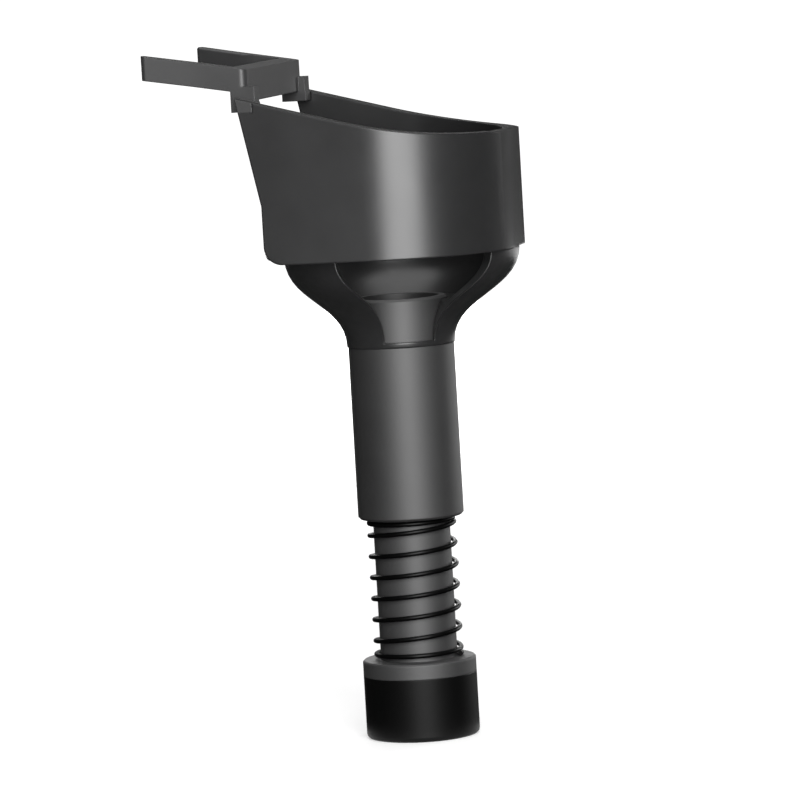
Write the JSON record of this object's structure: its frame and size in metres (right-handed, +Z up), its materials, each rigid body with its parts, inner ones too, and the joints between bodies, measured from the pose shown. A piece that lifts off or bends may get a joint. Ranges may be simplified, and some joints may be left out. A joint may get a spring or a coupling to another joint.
{
  "type": "drone landing gear leg",
  "caption": "Sprung landing leg for a small camera drone: a cup for the motor pod with a clip for the arm, a tube, and a rubber-tipped plunger on a coil spring.",
  "frame": {"origin": "centre of the pod socket, on the ledge that the motor pod stands on", "axes": "+Z up along the leg's axis, out of the socket's mouth; +X outboard, away from the aircraft's body; the drone's arm leaves towards -X"},
  "size_m": [0.0397, 0.03, 0.0806],
  "materials": {
    "housing_plastic": "dark grey satin moulding",
    "tube_plastic": "dark grey satin moulding",
    "clip_plastic": "dark grey satin moulding",
    "plunger_plastic": "grey satin moulding",
    "foot_rubber": "satin black rubber",
    "spring_wire": "black coated spring wire",
    "fastener_steel": "plain steel"
  },
  "bodies": {
    "strut": {"leg_housing": "housing_plastic", "leg_tube": "tube_plastic", "arm_clip": "clip_plastic", "coil_spring": "spring_wire"},
    "sprung_foot": {"plunger": "plunger_plastic", "rubber_foot": "foot_rubber", "screw_washer": "fastener_steel", "retaining_screw": "fastener_steel"}
  },
  "joints": [
    {"name": "foot_slide", "type": "slide", "parent": "strut", "child": "sprung_foot", "axis": [0, 0, 1], "range_m": [0, 0.0075], "stiffness_N_per_m": 170, "springref_m": -0.0055, "deforming": ["coil_spring"]}
  ]
}
